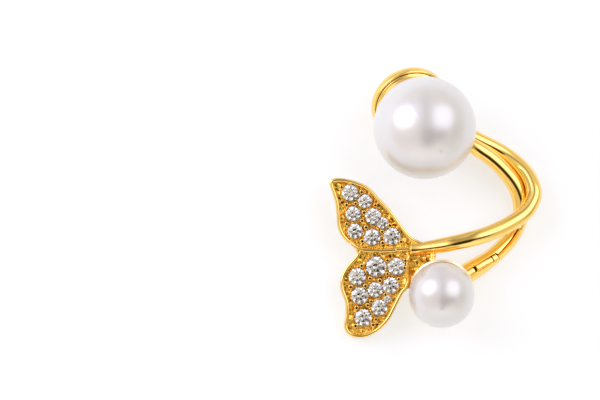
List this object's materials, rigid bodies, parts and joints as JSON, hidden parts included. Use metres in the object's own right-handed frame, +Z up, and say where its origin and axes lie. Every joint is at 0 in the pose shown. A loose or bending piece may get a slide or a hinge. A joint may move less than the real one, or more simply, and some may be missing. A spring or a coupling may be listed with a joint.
{
  "type": "butterfly ear cuff earring",
  "caption": "Open gold ear cuff of two bent wires, with a large pearl at one end and a stone-paved half butterfly and a small pearl at the other.",
  "frame": {"origin": "middle of the footprint box of the cuff, on the surface that it lies on", "axes": "+Z up from that surface; +Y along the cuff from the hind wing's end towards the large pearl; +X across it towards the bend of the wires"},
  "size_m": [0.0212, 0.0264, 0.0116],
  "materials": {
    "gold": "polished",
    "pearl": "satin"
  },
  "bodies": {
    "root": {"gold_frame": "gold", "large_pearl": "pearl", "small_pearl": "pearl"}
  },
  "joints": []
}
